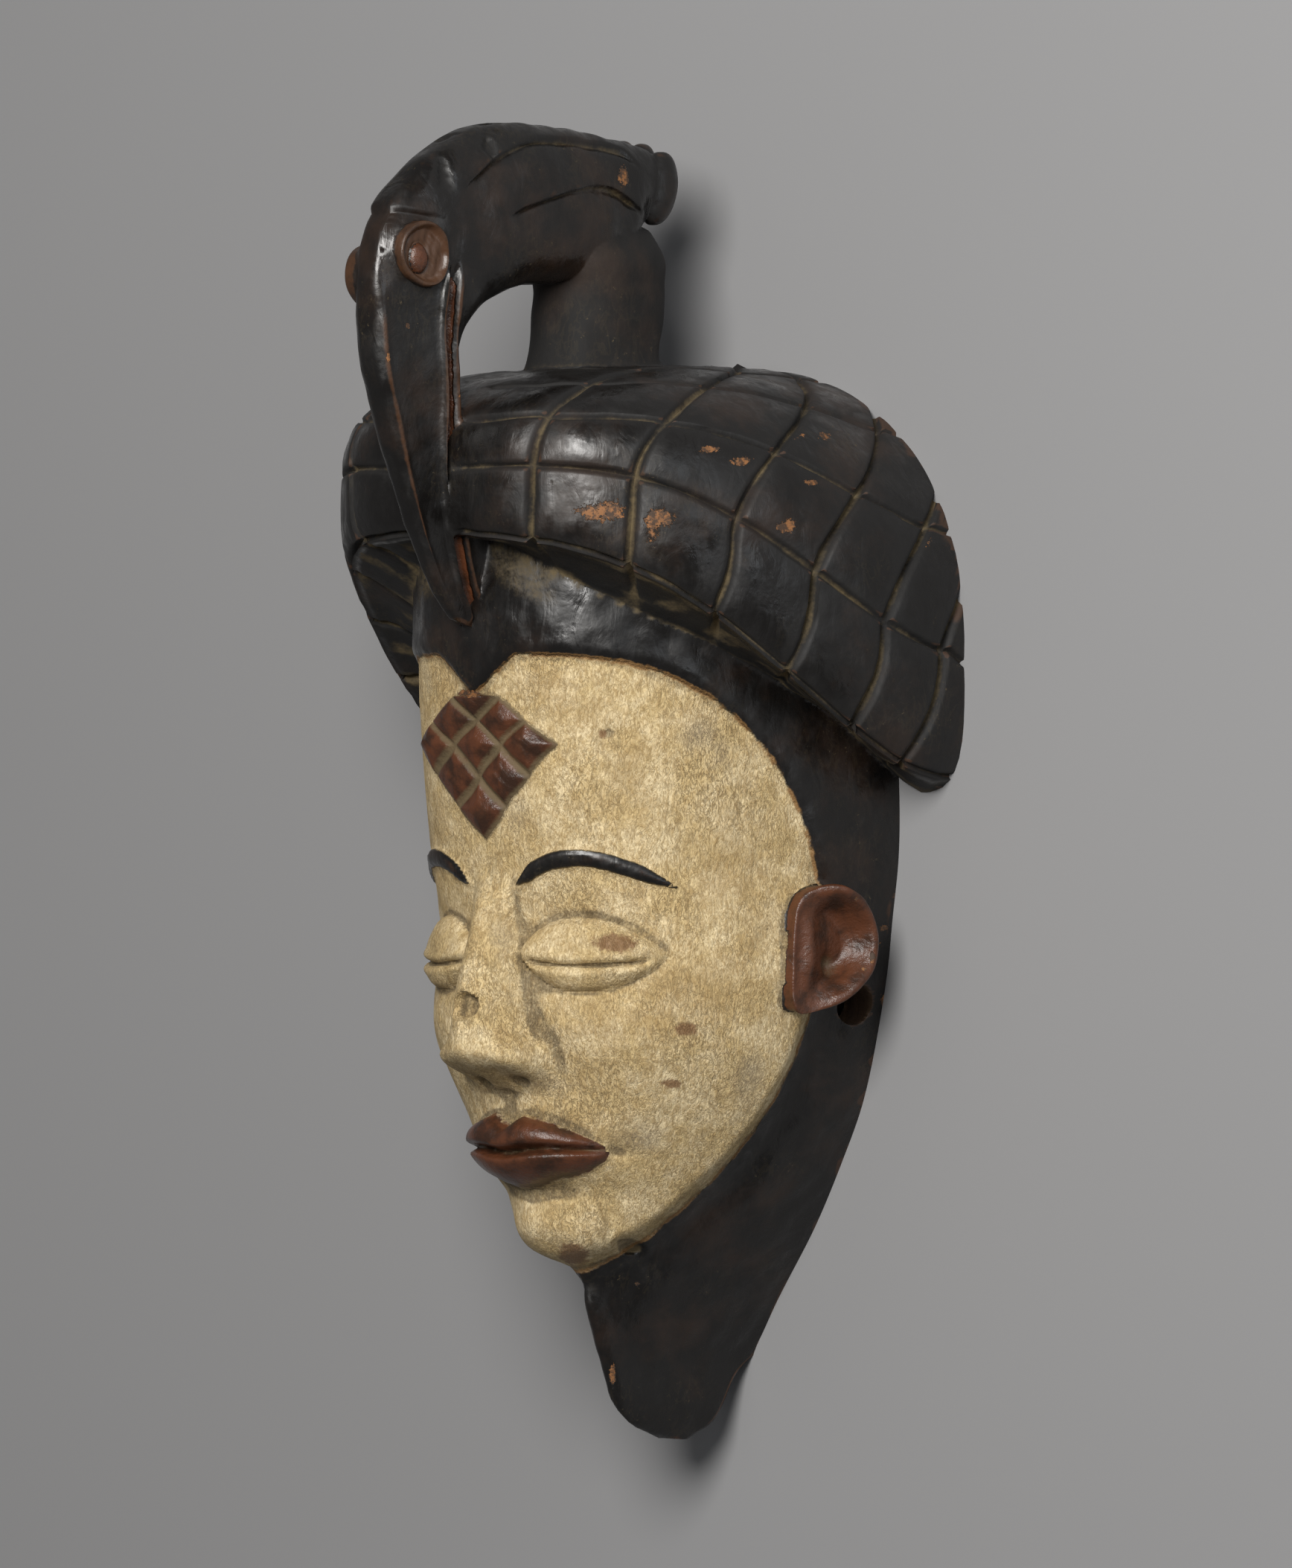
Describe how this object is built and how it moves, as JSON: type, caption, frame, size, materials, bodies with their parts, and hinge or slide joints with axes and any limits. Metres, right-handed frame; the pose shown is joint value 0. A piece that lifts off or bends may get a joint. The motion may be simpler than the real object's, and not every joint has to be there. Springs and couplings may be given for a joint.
{
  "type": "okuyi mask",
  "caption": "Carved wooden face mask, hollow behind, with a grooved coiffure and a bird arching over it, painted pale and black.",
  "frame": {"origin": "middle of the mask's box on the surface it lies on, in the plane of its flat back rim", "axes": "+Y towards the bird's back, which is the mask's top; +Z out of the face; +X towards the mask's own left"},
  "size_m": [0.2128, 0.43, 0.168],
  "materials": {
    "painted_wood": "carved light hardwood, blackened hair and bird with a soft gloss, chalky kaolin face, red-brown lips and scars"
  },
  "bodies": {
    "root": {"mask": "painted_wood"}
  },
  "joints": []
}
